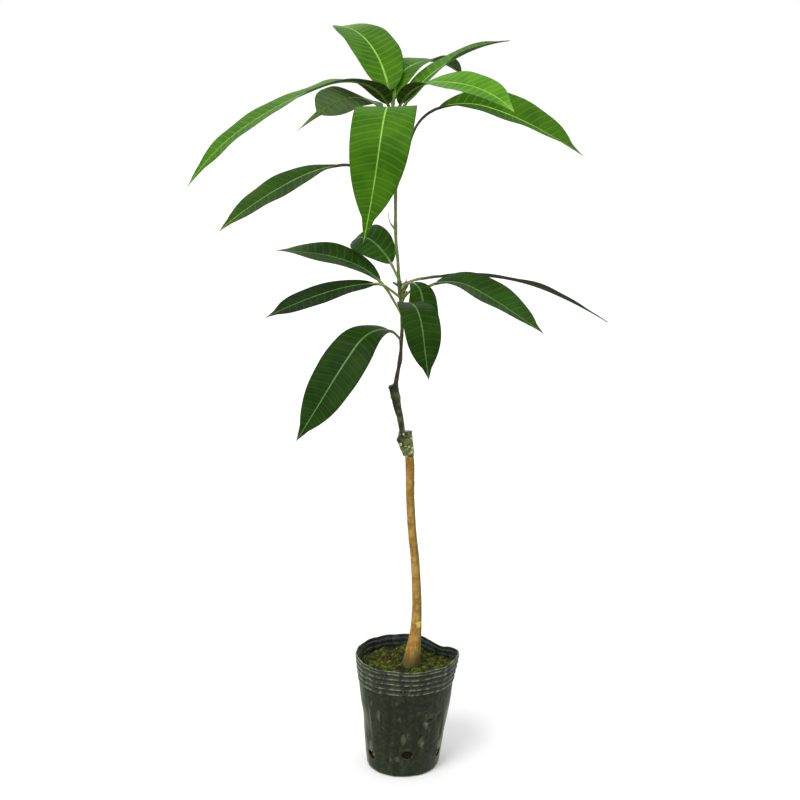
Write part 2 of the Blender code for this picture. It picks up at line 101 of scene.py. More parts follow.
# pale marks are painted highlights on the film's streaks and folds, partly scuffs; the one below 0
# is painted shade in the crease
SCUFFS_AND_PAINTED_LIGHT = (  # on the film: azimuth, height, half width, half height, strength (below 0 it is dark)
    (236, 76, 3.5, 13, 0.35), (302, 72, 3.5, 14, 0.35), (271, 52, 5, 9, 0.3),
    (350, 66, 16, 40, 0.75), (210, 60, 6, 26, 0.35), (336, 30, 8, 18, 0.6), (214, 32, 6, 12, 0.4),
    (297, 44, 3.5, 11, 0.35), (262, 24, 4, 6, 0.25), (120, 62, 6, 26, 0.4), (60, 40, 5, 16, 0.4),
    (20, 80, 6, 20, 0.4), (160, 84, 4, 12, 0.35), (90, 90, 5, 12, 0.3), (308, 72.5, 9, 2.8, -0.95),
)
CREASES = (  # azimuth, height, half width in degrees, half height, depth, rise per degree
    (308, 72.5, 10, 2, 5.0, 0.12), (308, 77.5, 12, 3, -1.8, 0.12), (296, 88, 12, 1.5, 1.3, 0.15),
    (266, 52, 3.5, 9, -1.0, 0), (238, 76, 3, 20, 1.0, 0), (246, 70, 3, 22, -0.8, 0),
    (214, 60, 4, 24, 1.1, 0), (222, 62, 3, 18, -0.7, 0), (330, 48, 3.5, 16, 1.2, 0),
    (302, 50, 3, 14, -0.8, 0), (290, 45, 2.5, 12, 0.7, 0), (322, 40, 8, 1.6, 1.4, 0.2),
    (150, 70, 10, 2, 1.6, 0.2), (60, 55, 12, 2, 1.7, -0.2), (100, 80, 3, 22, 1.0, 0),
    (20, 70, 3, 18, 1.1, 0), (128, 50, 3, 20, -0.8, 0), (80, 46, 3, 16, -0.8, 0),
)

# Soil
SOIL_HEIGHT = 125.5
SOIL_INSET = 0.9  # from the pot's wall
SOIL_FLOOR_GAP = 0.3
SOIL_TOP_ROWS = 42
SOIL_SIDE_ROWS = 60
SOIL_STEPS = 168
TRUNK_FOOT = (6.0, 0.0)
BARE_RADIUS = 9.0  # round the trunk's foot, where no moss grows
TUFTS = 1900
TUFT_SPIKES = 7
TUFT_REACH = 0.9
SPIKE_RADIUS = 0.45
SPIKE_TURN = 2.09  # between the corners of a spike's foot
CHIPS = 90
CHIP_SIZE = 1.8
GRAINS = 9
GRAIN_SIZE = 1.5
HOLE_BITS = 11  # that show in each drain hole but the first
DIRT, MOSS, CHIP, GRAIN, DARK_MOSS, ORANGE = range(6)  # the fill's materials

# Woody pieces, from the foot up: x, height and diameter at each station
ROOTSTOCK = (
    (8.8, 122, 24), (10.6, 132, 19.6), (12.6, 146, 17.6), (14.9, 162, 14.2), (16.3, 184, 12.2),
    (16.5, 212, 11.0), (14.4, 256, 10.2), (10.8, 294, 9.9), (8.6, 334, 9.8), (8.2, 372, 10.4),
    (7.4, 386, 9.8), (7.0, 394, 9.4), (5.6, 414, 8.4),
)
SCION = (
    (-0.2, 399, 4.4), (-0.7, 408, 6.6), (-0.9, 414, 6.8), (-2.2, 424, 7.2), (-3.9, 433, 7.8),
    (-5.9, 441, 9.0), (-7.5, 449, 9.8), (-8.6, 456, 11.2), (-10.0, 462, 11.0), (-11.1, 471.5, 11.8),
)
SHOOT_LOWER = (
    (-9.4, 464, 5.2), (-8.0, 472, 5.4), (-6.6, 481, 5.0), (-5.0, 489, 4.2), (-3.4, 498, 5.4),
    (-2.3, 510, 3.8), (-2.0, 521, 4.6), (-1.1, 533, 4.0), (-1.0, 549, 4.6), (-1.5, 562, 4.6),
    (-3.2, 575, 5.0), (-4.2, 589, 5.4),
)
SHOOT_UPPER = (
    (-4.0, 585, 4.6), (-5.1, 598, 3.7), (-5.8, 612, 3.5), (-7.2, 624, 4.0), (-8.0, 636, 3.5),
    (-8.4, 650, 4.2), (-8.4, 665, 3.5), (-8.4, 691, 4.2), (-9.2, 715, 3.6), (-10.0, 737, 3.7),
    (-11.0, 762, 4.4), (-11.2, 774, 4.0), (-11.0, 784, 1.2),
)
BARK_RING_PITCH = 47.0
FLARE_HEIGHT = 150.0  # where the trunk's foot starts to spread
FLARE_DROP = 28.0
BUD_STEPS = 14  # round a bud, and along it
LOWER_BUDS = (  # start and end as x and height, diameter at each, material
    ((-4.0, 583), (-12.0, 588), 3.4, 2.4, 0),
    ((-2.0, 571), (4.4, 592), 4.6, 1.4, 1),
    ((-3.0, 564), (4.6, 578), 5.4, 3.4, 2),
    ((-3.6, 572), (6.0, 585), 5.0, 2.6, 2),
    ((-2.0, 568), (9.4, 579), 4.2, 2.2, 2),
)
UPPER_BUDS = (
    ((-8.4, 646), (-15.5, 656), 2.6, 1.4, 1),
    ((-15.2, 655), (-17.2, 671), 1.2, 0.5, 1),
)
SCAR_PLACE = (0.0195, -0.0065, 0.1785)  # a pale scar on the trunk, in metres
SCAR_REACH = 0.0052

# Grafting tape, and the knob of callus under it
TAPE_LOW = 385.0
TAPE_HIGH = 414.6
TAPE_ROW = 0.3
TAPE_SIDES = 72
TAPE_WIDTH = 8.0  # that each winding climbs
TAPE_TILT = 2.2
KNOB_CENTRE = -3.0
KNOB_RADIUS = 3.2
KNOB_HEIGHT = 403.0
KNOB_TALL = 9.0
KNOB_SLANT = 0.42  # how far it leans to the trunk for each mm down

# Leaves
STRAIGHT_STALK = 0.6
STALK_RADIUS = 1.45
JOINT_RADIUS = 1.75
BLADE_JOINT_RADIUS = 1.7
STALK_SIDES = 14
FACE, UNDER, RIB, STALK = range(4)  # a leaf's materials
PURPLE_FROM = 60.0  # the length from which a petiole of the upper flush is purple
AXIS_STEPS = 400
WIDEST = 0.45
BASE_HALF_WIDTH = 1.5
TIP_HALF_WIDTH = 0.4
TIP_SHARE = 0.065  # of the width, that the half width has where the drip tip starts
LEAF_THICKNESS = 0.5
ROW_PITCH = 1.3
COLUMNS = 15  # on each side of the midrib
VEIN_PITCH = 8.6
VEIN_RISE = 0.20  # how far a vein runs forward for each millimetre across
VEIN_CURVE = 0.006
QUILT = 0.2
MIDRIB_HALF = 1.25
MIDRIB_TAPER = 0.85
RIDGE = 0.35  # the midrib's height on the upper face
KEEL = 1.5  # and on the lower one
WAVE = 0.4  # of the margin
LONG_WAVE = 0.8
LEAF_GLOSS = 0.05
PAINTED_BASE_SHADE = (76.0, 46.0)  # where the lower face is painted darker towards its base: painted shade under the crown
UV_UNIT = 100.0


class Leaf(NamedTuple):
    """One leaf. Azimuth 0 is +X and 90 is +Y; pitch is upwards."""

    name: str
    height: float  # of the joint on the stem
    petiole: float
    blade: float
    width: float
    azimuth: tuple  # at the joint, the blade's base, a third along it and its tip
    pitch: tuple  # of the petiole, then at the blade's base, both thirds and its tip
    sway: tuple  # sideways bend at the blade's base and tip
    roll: tuple  # turn about the midrib at the blade's base, middle and tip
    fold: float  # how far each half rises from flat
    drip: float = 0.05  # the thin tip's share of the blade
    opening: float = 0.7  # the lower it is, the blunter the blade's base


UPPER_LEAVES = (
    Leaf("upper_back_left", 780, 22, 160, 60, (116, 112, 118, 124), (60, 60, 38, 18, -4),
         (0, 0), (-10, -6, 0), 10, 0.05, 0.45),
    Leaf("upper_left", 771.8, 18, 272, 52, (250, 238, 192, 190), (44, 47, -20, -33, -56),
         (0, 0), (8, -6, -30), 6, 0.05, 0.45),
    Leaf("upper_back_low", 764, 25, 142, 56, (130, 132, 130, 165), (40, 31, -1, -29, -40),
         (0, 0), (10, 24, 60), 4, 0.22),
    Leaf("upper_front", 764, 25, 250, 63, (269, 269, 269, 269), (26, 11, 2, -85, -86),
         (0, -12), (0, 0, 0), 2, 0.06, 0.45),
    Leaf("upper_low_left", 693, 68, 155, 50, (185, 185, 200, 205), (30, -8, -25, -31, -38),
         (0, 0), (-14, -16, -12), 6),
    Leaf("upper_low_right", 691, 105, 172, 60, (0, -10, -15, -15), (73, 18, -17, -27, -32),
         (0, 0), (22, 26, 6), 18),
    Leaf("upper_front_right", 767, 22, 178, 44, (306, 306, 326, 300), (52, 48, 1, -15, -30),
         (0, 0), (-5, 22, 20), 10, 0.05, 0.5),
    Leaf("upper_right", 761, 26, 144, 46, (14, 14, 17, 15), (60, 57, 36, 22, 6),
         (0, 0), (20, 0, 0), 12),
    Leaf("upper_back_right", 768, 22, 160, 48, (90, 81, 54, 40), (66, 64, 21, -4, -40),
         (0, 0), (8, 0, 0), 12),
)
LOWER_LEAVES = (
    Leaf("lower_back", 590, 21, 85, 41, (173, 159, 134, 113), (64, 60, 30, -6, -28),
         (0, 0), (-34, -46, -40), 0, 0.05, 0.5),
    Leaf("lower_left_high", 550, 45, 130, 46, (161, 161, 166, 171), (58, 42, 18, 5, 2),
         (0, 0), (-15, -20, -15), 12),
    Leaf("lower_left", 570, 33, 134, 43, (190, 195, 200, 205), (38, 2, -12, -18, -22),
         (0, 0), (-12, -18, -12), 3),
    Leaf("lower_front", 548, 33, 134, 41, (270, 282, 284, 276), (38, 21, -10, -85, -85),
         (0, 8), (0, 0, 0), 5),
    Leaf("lower_front_inner", 579, 19, 94, 33, (338, 319, 277, 268), (37, -6, -84, -88, -88),
         (0, 10), (8, 5, 0), 5, 0.05, 0.4),
    Leaf("lower_right", 544, 60, 142, 54, (345, 337, 333, 332), (56, 17, -23, -29, -29),
         (0, 0), (12, 12, 4), 15, 0.05, 0.4),
    Leaf("lower_right_long", 584, 25, 233, 50, (15, 12, 8, 5), (18, 8, -6, -24, -32),
         (0, 0), (-8, -8, -8), 5),
    Leaf("lower_hanging", 521, 18, 184, 51, (225, 230, 235, 235), (45, 25, -48, -62, -68),
         (-5, -25), (-15, -23, -15), 4),
)


# Materials


class Paint:
    """One procedural material, put together node by node."""

    def __init__(self, name, **sockets):
        self.material = bpy.data.materials.new(name)
        self.material.use_nodes = True
        self.tree = self.material.node_tree
        self.shader = self.tree.nodes["Principled BSDF"]
        for socket, value in sockets.items():
            self.shader.inputs[socket.replace("_", " ")].default_value = value

    def node(self, kind, settings=(), inputs=(), out=0):
        """Adds a node, sets or links its inputs and gives one of its outputs."""
        made = self.tree.nodes.new("ShaderNode" + kind)
        for name, value in dict(settings).items():
            setattr(made, name, value)
        for socket, value in dict(inputs).items():
            if isinstance(value, bpy.types.NodeSocket):
                self.tree.links.new(value, made.inputs[socket])
            else:
                made.inputs[socket].default_value = value
        return made.outputs[out]

    def place(self, scale=(1, 1, 1)):
        """Object coordinates in metres, stretched by a scale."""
        return self.node("Mapping", inputs={0: self.node("TexCoord", out="Object"), 3: scale})

    def spread(self):
        """The blade's own coordinates in millimetres: across from the midrib, and along it."""
        uv = {0: self.node("UVMap", {"uv_map": "blade"})}
        across, along = (self.node("SeparateXYZ", (), uv, out) for out in (0, 1))
        return self.math("MULTIPLY", across, UV_UNIT), self.math("MULTIPLY", along, UV_UNIT)

    def height(self):
        return self.node("SeparateXYZ", inputs={0: self.place()}, out=2)

    def away(self, middle, squeeze=1.0):
        """Uneven distance from a place in metres; a squeeze below 1 makes a mark reach higher."""
        scale = (1, 1, squeeze)
        middle = tuple(float(value) for value in np.multiply(middle, scale))
        place = self.node("VectorMath", {"operation": "MULTIPLY"}, {0: self.place(), 1: scale})
        gap = self.node("VectorMath", {"operation": "DISTANCE"}, {0: place, 1: middle}, 1)
        return self.math("MULTIPLY_ADD", self.math("SUBTRACT", self.cloud(400), 0.5), 0.006, gap)

    def math(self, operation, *values):
        return self.node("Math", {"operation": operation}, enumerate(values))

    def step(self, value, start, end, low=0.0, high=1.0):
        """Eases from low to high as the value goes from start to end."""
        inputs = {0: value, 1: start, 2: end, 3: low, 4: high}
        return self.node("MapRange", {"interpolation_type": "SMOOTHSTEP"}, inputs)

    def mix(self, share, first, second):
        return self.node("Mix", {"data_type": "RGBA"}, {0: share, 6: first, 7: second}, 2)

    def cloud(self, scale, detail=3.0, stretch=(1, 1, 1)):
        """Noise with about this many patches to a metre."""
        inputs = {"Scale": scale, "Detail": detail, "Roughness": 0.55}
        return self.node("TexNoise", inputs={"Vector": self.place(stretch), **inputs})

    def cells(self, scale, stretch=(1, 1, 1)):
        return self.node("TexVoronoi", inputs={"Vector": self.place(stretch), "Scale": scale})

    def over(self, skin, color, value, start, end, share=1.0):
        """Lays a colour over the skin, up to a share, as the value goes from start to end."""
        return self.mix(self.step(value, start, end, 0.0, share), skin, color)

    def done(self, skin, relief, depth, strength):
        """The finished material, with its colour and relief that is so many millimetres deep."""
        inputs = {"Height": relief, "Distance": depth * MM, "Strength": strength}
        bump = self.node("Bump", inputs=inputs)
        self.tree.links.new(skin, self.shader.inputs["Base Color"])
        self.tree.links.new(bump, self.shader.inputs["Normal"])
        return self.material


def rgb(red, green, blue):
    """A linear colour from the red, green and blue that a screen shows, each to 255."""
    channels = (max(c, 0) / 255 for c in (red, green, blue))
    return (*(c / 12.92 if c <= 0.04045 else ((c + 0.055) / 1.055) ** 2.4 for c in channels), 1.0)


def toned(color, tone):
    return (*(channel * tone for channel in color[:3]), 1.0)


YOUNG_FACE = (rgb(66, 113, 14), rgb(51, 96, 10), rgb(102, 146, 46))  # flesh, shade and veins
YOUNG_UNDER = (rgb(98, 124, 76), rgb(82, 108, 62), rgb(126, 150, 100))
# painted shade at the base of the young leaves' lower faces, under the crown
YOUNG_UNDER_SHADE = rgb(60, 84, 2)
OLD_FACE = (rgb(38, 70, 14), rgb(28, 55, 9), rgb(64, 98, 34))
OLD_UNDER = (rgb(80, 100, 60), rgb(66, 86, 48), rgb(104, 124, 80))
# painted light and shade, partly the leaves' own tone: how much brighter or darker each leaf's
# faces are painted
LIGHT_TONES = {  # of a leaf's upper face and of its lower one
    "upper_low_left": (0.62, 1.0),
    "upper_low_right": (0.85, 1.0),
    "upper_front_right": (1.5, 1.0),
    "lower_right": (1.2, 1.0),
    "upper_right": (0.95, 1.0),
    "upper_back_low": (1.1, 2.2),
    "lower_back": (1.5, 1.35),
    "lower_left_high": (1.3, 1.1),
    "lower_left": (0.55, 1.4),
    "lower_front": (0.95, 1.0),
    "lower_front_inner": (1.3, 0.8),
    "lower_hanging": (0.82, 1.0),
}
TIP_HIGHLIGHT_SPANS = {  # where an upper face is painted paler towards its tip: painted highlight of light caught there
    "upper_back_left": (100.0, 165.0),
    "upper_front_right": (150.0, 185.0),
    "lower_left_high": (80.0, 140.0),
}
# painted highlight colours for the leaf tips
TIP_HIGHLIGHT = rgb(136, 170, 74)
OLD_TIP_HIGHLIGHT = rgb(92, 112, 72)
# painted highlight of the pale marks on the film
PAINTED_HIGHLIGHT = rgb(140, 148, 120)
# painted shade in the film's crease
PAINTED_CREASE_SHADE = rgb(14, 17, 13)


def leaf_face(name, colors, tone, vein_share, roughness, base=None, end=None, highlight_color=TIP_HIGHLIGHT):
    """The skin of a blade: lateral veins and soft mottling, with painted shade that may darken its
    base and a painted highlight that may pale its tip.
    """
    flesh, shade, vein = (toned(color, tone) for color in colors)
    paint = Paint(name, Roughness=roughness, Specular_IOR_Level=LEAF_GLOSS)
    across, along = paint.spread()
    out = paint.math("ABSOLUTE", across)
    rise = paint.math("MULTIPLY", out, paint.math("MULTIPLY_ADD", out, VEIN_CURVE, VEIN_RISE))
    turn = paint.math("DIVIDE", paint.math("SUBTRACT", along, rise), VEIN_PITCH)
    turn = paint.math("MULTIPLY_ADD", paint.math("GREATER_THAN", across, 0.0), 0.5, turn)
    wobble = paint.math("MULTIPLY_ADD", paint.cloud(60), 0.4, turn)
    main = paint.step(paint.math("PINGPONG", wobble, 0.5), 0.13, 0.02)
    fine = paint.math("PINGPONG", paint.math("MULTIPLY_ADD", wobble, 3.0, paint.cloud(180)), 0.5)
    between = paint.step(fine, 0.16, 0.03, 0.0, 0.3)
    lines = paint.math("MULTIPLY", paint.math("MAXIMUM", main, between), vein_share)
    skin = paint.over(flesh, shade, paint.cloud(34), 0.34, 0.66)
    if base:
        # painted shade towards the blade's base
        skin = paint.over(skin, base, along, *PAINTED_BASE_SHADE)
    if end:
        # painted highlight towards the tip
        skin = paint.over(skin, highlight_color, along, *end, 0.8)
    relief = paint.math("SUBTRACT", paint.cloud(700, 4.0), main)
    return paint.done(paint.mix(lines, skin, vein), relief, 0.12, 0.5)


def plain_plant(name, light, dark, roughness=0.5):
    """Midribs, petioles and other smooth green parts: two colours in soft patches."""
    paint = Paint(name, Roughness=roughness)
    skin = paint.over(light, dark, paint.cloud(240), 0.35, 0.65)
    return paint.done(skin, paint.cloud(1440), 0.12, 0.5)


def bark_material():
    """Tan bark with streaks, pale spots and pits, painted olive shade on its right and dark at its
    foot.
    """
    paint = Paint("trunk_bark", Roughness=0.82, Specular_IOR_Level=0.3)
    skin = paint.over(rgb(188, 152, 76), rgb(160, 112, 44), paint.cloud(120), 0.38, 0.62)
    streak = paint.cloud(420, 4.0, (1, 1, 0.12))
    skin = paint.over(skin, rgb(118, 90, 46), streak, 0.50, 0.66, 0.6)
    # painted shade: the trunk's right side turns darker olive
    right = paint.math("MULTIPLY_ADD", paint.cloud(60), 0.9, paint.spread()[0])
    skin = paint.over(skin, rgb(118, 112, 46), right, 0.55, 1.25, 0.75)
    spots = paint.cells(330, (1, 1, 0.55))
    skin = paint.over(skin, rgb(212, 188, 118), spots, 0.20, 0.10, 0.7)
    skin = paint.over(skin, rgb(104, 84, 36), paint.cells(480, (1, 1, 0.7)), 0.16, 0.08, 0.6)
    scar = paint.away(SCAR_PLACE)
    skin = paint.over(skin, rgb(222, 204, 104), scar, SCAR_REACH, SCAR_REACH * 0.5)
    skin = paint.over(skin, rgb(80, 76, 34), paint.height(), 0.150, 0.126)
    return paint.done(skin, paint.math("SUBTRACT", streak, spots), 0.5, 0.7)


def scion_material():
    """Olive bark in patches, with a dark cut end."""
    paint = Paint("scion_bark", Roughness=0.42, Specular_IOR_Level=0.35)
    skin = paint.over(rgb(50, 56, 24), rgb(92, 106, 50), paint.cloud(110, 4.0), 0.44, 0.60)
    pale = paint.cloud(230, 3.0, (1, 1, 0.6))
    skin = paint.over(skin, rgb(128, 140, 86), pale, 0.60, 0.72, 0.7)
    skin = paint.over(skin, rgb(44, 44, 18), paint.height(), 0.4560, 0.4620, 0.5)
    return paint.done(skin, paint.cloud(500, 4.0), 0.5, 0.8)


def shoot_material():
    """New wood: dark brown at the graft, greyer up the stem and green where it meets the flush."""
    paint = Paint("shoot_bark", Roughness=0.62)
    brown = paint.over(rgb(64, 48, 34), rgb(92, 74, 50), paint.cloud(300), 0.4, 0.6)
    green = paint.over(rgb(92, 112, 52), rgb(70, 88, 40), paint.cloud(220), 0.4, 0.6)
    skin = paint.over(brown, green, paint.height(), 0.500, 0.560)
    skin = paint.over(skin, rgb(150, 138, 98), paint.cells(700), 0.16, 0.07, 0.6)
    return paint.done(skin, paint.cloud(900, 3.0, (1, 1, 0.3)), 0.3, 0.7)


def tape_material():
    """Clear stretched grafting tape: olive wood shows through, with painted highlights on its pale
    folds.
    """
    paint = Paint("grafting_tape", Roughness=0.25, Specular_IOR_Level=0.5)
    wood = paint.over(rgb(112, 122, 62), rgb(52, 56, 20), paint.cloud(95), 0.44, 0.56)
    folds = paint.cloud(150, 2.0, (1, 1, 1.3))
    # the pale colour on the folds is painted highlight
    skin = paint.over(wood, rgb(206, 218, 150), folds, 0.57, 0.64)
    return paint.done(skin, paint.cloud(260, 4.0, (1, 1, 1.6)), 0.8, 0.8)


def film_material(name, dark, pale, dust_and_glints, dark_share=0.52, painted_marks=()):
    """Soft recycled film: upright streaks, pale dust that on the rib crests is painted glint, and
    single marks: pale ones are painted highlight, partly scuffs, and dark ones are painted shade.
    """
    paint = Paint(name, Roughness=0.34, Specular_IOR_Level=0.42, Sheen_Weight=0.75,
                  Sheen_Roughness=0.3, Sheen_Tint=rgb(190, 204, 168))
    streak = paint.cloud(150, 4.0, (1, 1, 0.08))
    streaked = paint.math("MULTIPLY", streak, 0.4)
    patch = paint.math("MULTIPLY_ADD", paint.cloud(210, 5.0), 0.6, streaked)
    skin = paint.over(dark, pale, patch, dark_share - 0.08, dark_share + 0.08)
    skin = paint.over(skin, dust_and_glints, paint.cloud(150, 6.0, (1, 1, 0.5)), 0.60, 0.72, 0.55)
    for turn, height, wide, tall, strength in painted_marks:
        turn, radius = math.radians(turn), pot_radius(height)
        middle = np.array([radius * math.cos(turn), radius * math.sin(turn), height]) * MM
        gap = paint.away(middle, wide / tall)
        # pale marks paint highlights, dark ones paint shade
        color = PAINTED_HIGHLIGHT if strength > 0 else PAINTED_CREASE_SHADE
        skin = paint.over(skin, color, gap, wide * MM, wide * MM * 0.2, abs(strength))
    gloss = paint.step(paint.cloud(60, 4.0), 0.35, 0.7, 0.24, 0.46)
    paint.tree.links.new(gloss, paint.shader.inputs["Roughness"])
    return paint.done(skin, paint.math("ADD", streak, paint.cloud(500)), 0.45, 0.7)


def soil_material():
    """Dark crumbly mix with rusty bits, under moss that stops a little below the surface."""
    paint = Paint("potting_soil", Roughness=0.95, Specular_IOR_Level=0.15)
    grain = paint.cells(520)
    dirt = paint.over(rgb(16, 14, 7), rgb(48, 40, 22), grain, 0.15, 0.6)
    dirt = paint.over(dirt, rgb(104, 76, 36), paint.cloud(230), 0.62, 0.68, 0.5)
    moss = paint.over(rgb(24, 34, 4), rgb(84, 96, 14), paint.cloud(300, 4.0), 0.4, 0.6)
    patches = paint.step(paint.cloud(95), 0.42, 0.52)
    cover = paint.math("MULTIPLY", patches, paint.step(paint.height(), 0.112, 0.119))
    relief = paint.math("ADD", grain, paint.cloud(900, 4.0))
    return paint.done(paint.mix(cover, dirt, moss), relief, 1.2, 0.9)


def simple(name, first, second, scale, roughness):
    """Two colours in patches, with fine relief."""
    paint = Paint(name, Roughness=roughness)
    skin = paint.over(first, second, paint.cloud(scale), 0.38, 0.62)
    return paint.done(skin, paint.cloud(scale * 3, 4.0), 0.3, 0.7)


# Mesh helpers


class Body:
    """Gathers the surfaces of one piece, in millimetres."""

    def __init__(self):
        self.points, self.faces, self.slots, self.uvs = [], [], [], []
        self.count = 0

    def add(self, points, faces, slots=0, uv=None):
        points = np.asarray(points, float).reshape(-1, 3)
        faces = [tuple(int(i) + self.count for i in face) for face in faces]
        self.points.append(points)
        self.faces.extend(faces)
        self.slots.extend([slots] * len(faces) if isinstance(slots, int) else slots)
        self.uvs.append(np.zeros((len(points), 2)) if uv is None else np.asarray(uv, float))
        self.count += len(points)

    def rings(self, rings, slot=0, uv=None):
        """A closed solid through rings of the same number of points, with a fan at each end."""
        rings = np.asarray(rings, float)
        rows, sides = rings.shape[:2]
        row = np.arange(rows - 1)[:, None] * sides
        side, after = np.arange(sides), (np.arange(sides) + 1) % sides
        quads = np.stack([row + side, row + after, row + sides + after, row + sides + side], axis=2)
        first, last = rows * sides, rows * sides + 1
        faces = [*quads.reshape(-1, 4)]
        faces += [(first, b, a) for a, b in zip(side, after)]
        end = (rows - 1) * sides
        faces += [(last, end + a, end + b) for a, b in zip(side, after)]
        points = np.vstack([rings.reshape(-1, 3), rings[0].mean(axis=0), rings[-1].mean(axis=0)])
        if uv is not None:
            uv = np.vstack([uv.reshape(-1, 2), uv[0].mean(axis=0), uv[-1].mean(axis=0)])
        self.add(points, faces, slot, uv)

    def finish(self, name, materials, node, slot_name):
        """Makes the piece, which rides on the whole plant and replaces a node."""
        mesh = bpy.data.meshes.new(name)
        mesh.from_pydata((np.vstack(self.points) * MM).tolist(), [], self.faces)
        mesh.polygons.foreach_set("material_index", np.array(self.slots, np.int32))
        uv = np.vstack(self.uvs)
        if uv.any():
            corners = np.empty(len(mesh.loops), np.int32)
            mesh.loops.foreach_get("vertex_index", corners)
            mesh.uv_layers.new(name="blade").data.foreach_set("uv", uv[corners].ravel())
        mesh.validate()
        bm = bmesh.new()
        bm.from_mesh(mesh)
        bmesh.ops.recalc_face_normals(bm, faces=bm.faces)
        bm.to_mesh(mesh)
        bm.free()
        for material in materials:
            mesh.materials.append(material)
        smooth(mesh)
        piece = placed(name, mesh)
        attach(piece, "root")
        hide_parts(node)
        return piece


def placed(name, data):
    """A new object in the scene."""
    made = bpy.data.objects.new(name, data)
    bpy.context.scene.collection.objects.link(made)
    return made


def smooth(mesh):
    mesh.polygons.foreach_set("use_smooth", [True] * len(mesh.polygons))


def smoothed(stations):
    """The stations with five points added between any two, on a Catmull-Rom curve."""
    knots = np.array([stations[0], *stations, stations[-1]], float)
    points = []
    for before, start, end, after in zip(knots, knots[1:], knots[2:], knots[3:]):
        for t in np.arange(6) / 6:
            points.append(
                start
                + (end - before) * t / 2
                + (2 * before - 5 * start + 4 * end - after) * t**2 / 2
                + (3 * start - before - 3 * end + after) * t**3 / 2
            )
    return np.array([*points, knots[-1]])


def fbm(point, scale, octaves=3):
    """Soft noise of about -1 to 1 at a point in millimetres."""
    return noise.fractal(Vector(point) / scale, 1.0, 2.0, octaves)


def stem_rings(stations, pitch, sides, relief, low=None):
    """Rings round a stem in the plant's plane. relief(angle, height) is added to the radius."""
    curve = smoothed(stations)
    x, z, radius = curve[:, 0], curve[:, 1], curve[:, 2] / 2
    start = z[0] if low is None else low
    heights = np.linspace(start, z[-1], math.ceil((z[-1] - start) / pitch) + 1)
    x, radius = np.interp(heights, z, x), np.interp(heights, z, radius)
    lean = np.gradient(x, heights)
    angles = np.arange(sides) / sides * 2 * np.pi
    rings = []
    for middle, height, r, slope in zip(x, heights, radius, lean):
        flat = 1 / math.hypot(1, slope)
        ring = []
        for angle in angles:
            out = r + relief(angle, height)
            wide = out * math.cos(angle)
            ring.append((middle + wide * flat, out * math.sin(angle), height - wide * slope * flat))
        rings.append(ring)
    return np.array(rings)


# Leaves


def stem_centre(height):
    stations = [*SHOOT_LOWER[:-1], *SHOOT_UPPER[1:]]
    return np.interp(height, [s[1] for s in stations], [s[0] for s in stations])


def half_width(leaf, t):
    """Half of the blade's width at a share t of its length: lance-shaped, with a thin drip tip."""
    opening = np.sin(np.pi / 2 * np.minimum(t / WIDEST, 1)) ** leaf.opening
    closing = 1 - np.clip((t - WIDEST) / (1 - leaf.drip - WIDEST), 0, 1) ** 3
    least = BASE_HALF_WIDTH + (TIP_HALF_WIDTH - BASE_HALF_WIDTH) * t
    point = np.where(t > WIDEST, TIP_SHARE * leaf.width * np.clip((1 - t) / leaf.drip, 0, 2), 0)
    return np.maximum(np.maximum(opening * closing * leaf.width / 2, point), least)


def eased(s, stops, values, blur):
    """Values between stops, with their corners rounded over a length."""
    offsets = np.linspace(-blur, blur, 9)
    weights = np.cos(offsets / blur * np.pi / 2) ** 2 + 1e-6
    sums = sum(w * np.interp(s + o, stops, values) for o, w in zip(offsets, weights))
    return np.radians(sums / weights.sum())


def leaf_frames(leaf):
    """Places along the leaf's axis, and the side and up directions there, from joint to tip."""
    length = leaf.petiole + leaf.blade
    s = np.linspace(0, length, AXIS_STEPS + 1)
    third = leaf.petiole + leaf.blade / 3
    two_thirds = leaf.petiole + 2 * leaf.blade / 3
    middle = leaf.petiole + leaf.blade / 2
    bend = leaf.petiole * STRAIGHT_STALK
    blur = leaf.petiole * 0.18
    azimuth = eased(s, (0, leaf.petiole, third, length), leaf.azimuth, blur)
    pitch = eased(s, (bend, leaf.petiole, third, two_thirds, length), leaf.pitch, blur)
    sway = eased(s, (leaf.petiole, length), leaf.sway, blur)[:, None]
    roll = eased(s, (leaf.petiole, middle, length), leaf.roll, blur)[:, None]
    level = np.cos(pitch)
    ahead = np.stack([level * np.cos(azimuth), level * np.sin(azimuth), np.sin(pitch)], axis=1)
    left = np.stack([-np.sin(azimuth), np.cos(azimuth), np.zeros_like(s)], axis=1)
    along = ahead * np.cos(sway) + left * np.sin(sway)
    side = left * np.cos(sway) - ahead * np.sin(sway)
    up = np.cross(along, side)
    side, up = side * np.cos(roll) + up * np.sin(roll), up * np.cos(roll) - side * np.sin(roll)
    steps = (along[1:] + along[:-1]) / 2 * (length / AXIS_STEPS)
    axis = np.vstack([np.zeros(3), np.cumsum(steps, axis=0)])
    return s, axis + (stem_centre(leaf.height), 0, leaf.height), side, up


def at(s, stations, values):
    return np.stack([np.interp(s, stations, column) for column in values.T], axis=-1)


